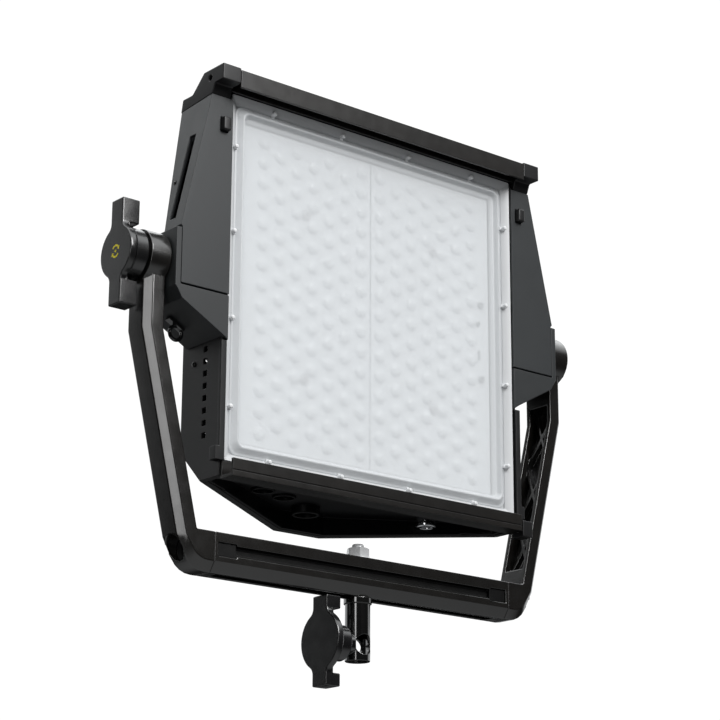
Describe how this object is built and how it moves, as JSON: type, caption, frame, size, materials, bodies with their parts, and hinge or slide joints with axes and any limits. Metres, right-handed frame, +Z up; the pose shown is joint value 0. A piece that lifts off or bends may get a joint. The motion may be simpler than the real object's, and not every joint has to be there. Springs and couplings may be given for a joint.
{
  "type": "led panel light",
  "caption": "Square soft light panel on a slotted yoke, with tilt lock, accessory rails and a clamping spigot receiver.",
  "frame": {"origin": "on the axis of the spigot receiver at its open lower end", "axes": "+Z up along the receiver, light faces -Y, +X to the right as seen from the front of the camera's side"},
  "size_m": [0.4674, 0.166, 0.4785],
  "materials": {
    "black_metal": "black anodised, satin",
    "zinc_steel": "zinc plated",
    "brass": "turned",
    "knob_plastic": "moulded, fine texture",
    "yoke_alloy": "black powder coat over cast and extruded alloy",
    "plug_rubber": "smooth",
    "fibre": "pressed friction fibre",
    "washer_plastic": "smooth",
    "housing": "black powder coat over sheet",
    "face_white": "satin white",
    "frosted_cover": "frosted translucent sheet",
    "clip_metal": "satin white clips",
    "lens_plastic": "clear moulded lenslets",
    "board_white": "white solder mask on alloy",
    "sink_alloy": "plain extruded",
    "rail_alloy": "dark anodised, satin",
    "end_plastic": "fine texture",
    "wing_plastic": "fine grained dark grey",
    "bracket_alloy": "dark grey powder coat",
    "black_screw": "black oxide",
    "rear_plastic": "fine grained black",
    "tray_plastic": "semi gloss black",
    "socket_black": "moulded",
    "bright_chrome": "polished",
    "board_green": "solder mask",
    "panel_plastic": "fine texture",
    "display_glass": "tinted window",
    "encoder_rubber": "soft touch, knurled",
    "button_plastic": "moulded",
    "rocker_red": "moulded",
    "fan_plastic": "moulded"
  },
  "bodies": {
    "receiver": {"receiver_tube": "black_metal", "receiver_bolt": "zinc_steel", "receiver_washer": "zinc_steel", "receiver_nut": "zinc_steel"},
    "clamp_pad": {"clamp_pad": "brass"},
    "clamp_knob": {"clamp_knob": "knob_plastic", "clamp_screw": "zinc_steel"},
    "yoke": {"yoke_beam": "yoke_alloy", "yoke_arm_left": "yoke_alloy", "yoke_arm_right": "yoke_alloy", "corner_plugs": "plug_rubber", "friction_washers": "fibre", "pivot_cap": "knob_plastic"},
    "thrust_washer": {"thrust_washer": "washer_plastic"},
    "tilt_knob": {"tilt_knob": "knob_plastic", "tilt_screw": "zinc_steel"},
    "catch_left": {"catch_left": "end_plastic"},
    "catch_right": {"catch_right": "end_plastic"},
    "encoder_1": {"encoder_1": "encoder_rubber"},
    "encoder_2": {"encoder_2": "encoder_rubber"},
    "encoder_3": {"encoder_3": "encoder_rubber"},
    "button_1": {"button_1": "button_plastic"},
    "button_2": {"button_2": "button_plastic"},
    "button_3": {"button_3": "button_plastic"},
    "power_rocker": {"power_rocker": "rocker_red"},
    "fan_rotor_left": {"fan_rotor_left": "fan_plastic"},
    "fan_rotor_right": {"fan_rotor_right": "fan_plastic"},
    "head": {"chassis": "housing", "face_plate": "face_white", "front_cover": "frosted_cover", "cover_clips": "clip_metal", "lens_array_left": "lens_plastic", "lens_array_right": "lens_plastic", "led_board": "board_white", "array_screws": "zinc_steel", "heat_sink": "sink_alloy", "top_rail": "rail_alloy", "bottom_rail": "rail_alloy", "rail_end_stop": "end_plastic", "end_cap_left": "end_plastic", "end_cap_right": "end_plastic", "wing_cover_left": "wing_plastic", "wing_cover_right": "wing_plastic", "pivot_bracket_left": "bracket_alloy", "pivot_bracket_right": "bracket_alloy", "pivot_shaft_left": "zinc_steel", "pivot_shaft_right": "zinc_steel", "safety_bail": "black_metal", "housing_screws": "black_screw", "rear_cover": "rear_plastic", "socket_tray": "tray_plastic", "power_inlet": "socket_black", "dc_inlet": "bright_chrome", "data_sockets": "socket_black", "power_supply": "sink_alloy", "control_board": "board_green", "control_panel": "panel_plastic", "display_window": "display_glass", "fan_left": "fan_plastic", "fan_right": "fan_plastic"}
  },
  "joints": [
    {"name": "clamp_pad_slide", "type": "slide", "parent": "receiver", "child": "clamp_pad", "axis": [1, 0, 0], "range_m": [0, 0.003]},
    {"name": "clamp_knob_turn", "type": "hinge", "parent": "clamp_pad", "child": "clamp_knob", "pos_m": [0, 0, 0.013], "axis": [1, 0, 0], "range_deg": [0, 720]},
    {"name": "yoke_slide", "type": "slide", "parent": "receiver", "child": "yoke", "axis": [1, 0, 0], "range_m": [-0.12, 0.12]},
    {"name": "thrust_washer_slide", "type": "slide", "parent": "yoke", "child": "thrust_washer", "axis": [-1, 0, 0], "range_m": [0, 0.0019]},
    {"name": "tilt_knob_turn", "type": "hinge", "parent": "thrust_washer", "child": "tilt_knob", "pos_m": [-0.23, 0, 0.291], "axis": [-1, 0, 0], "range_deg": [0, 540]},
    {"name": "head_tilt", "type": "hinge", "parent": "yoke", "child": "head", "pos_m": [0, 0, 0.291], "axis": [1, 0, 0], "range_deg": [-90, 90]},
    {"name": "catch_left_press", "type": "slide", "parent": "head", "child": "catch_left", "axis": [0, 1, 0], "range_m": [0, 0.004], "stiffness_N_per_m": 800, "springref_m": -0.001},
    {"name": "catch_right_press", "type": "slide", "parent": "head", "child": "catch_right", "axis": [0, 1, 0], "range_m": [0, 0.004], "stiffness_N_per_m": 800, "springref_m": -0.001},
    {"name": "encoder_1_turn", "type": "hinge", "parent": "head", "child": "encoder_1", "pos_m": [-0.014, 0.112, 0.296], "axis": [0, 1, 0], "continuous": true},
    {"name": "encoder_2_turn", "type": "hinge", "parent": "head", "child": "encoder_2", "pos_m": [0.014, 0.112, 0.296], "axis": [0, 1, 0], "continuous": true},
    {"name": "encoder_3_turn", "type": "hinge", "parent": "head", "child": "encoder_3", "pos_m": [0, 0.112, 0.27], "axis": [0, 1, 0], "continuous": true},
    {"name": "button_1_press", "type": "slide", "parent": "head", "child": "button_1", "axis": [0, -1, 0], "range_m": [0, 0.0012], "stiffness_N_per_m": 1200, "springref_m": -0.0004},
    {"name": "button_2_press", "type": "slide", "parent": "head", "child": "button_2", "axis": [0, -1, 0], "range_m": [0, 0.0012], "stiffness_N_per_m": 1200, "springref_m": -0.0004},
    {"name": "button_3_press", "type": "slide", "parent": "head", "child": "button_3", "axis": [0, -1, 0], "range_m": [0, 0.0012], "stiffness_N_per_m": 1200, "springref_m": -0.0004},
    {"name": "power_rocker_tip", "type": "hinge", "parent": "head", "child": "power_rocker", "pos_m": [0, 0.113, 0.2105], "axis": [1, 0, 0], "range_deg": [-15, 0]},
    {"name": "fan_left_spin", "type": "hinge", "parent": "head", "child": "fan_rotor_left", "pos_m": [-0.093, 0.072, 0.308], "axis": [-0.5547, 0.8321, 0], "continuous": true},
    {"name": "fan_right_spin", "type": "hinge", "parent": "head", "child": "fan_rotor_right", "pos_m": [0.093, 0.072, 0.308], "axis": [0.5547, 0.8321, 0], "continuous": true}
  ],
  "couplings": [
    {"joint": "clamp_pad_slide", "follows": "clamp_knob_turn", "m_per_rad": 0.00023873},
    {"joint": "thrust_washer_slide", "follows": "tilt_knob_turn", "m_per_rad": 0.00019894}
  ]
}
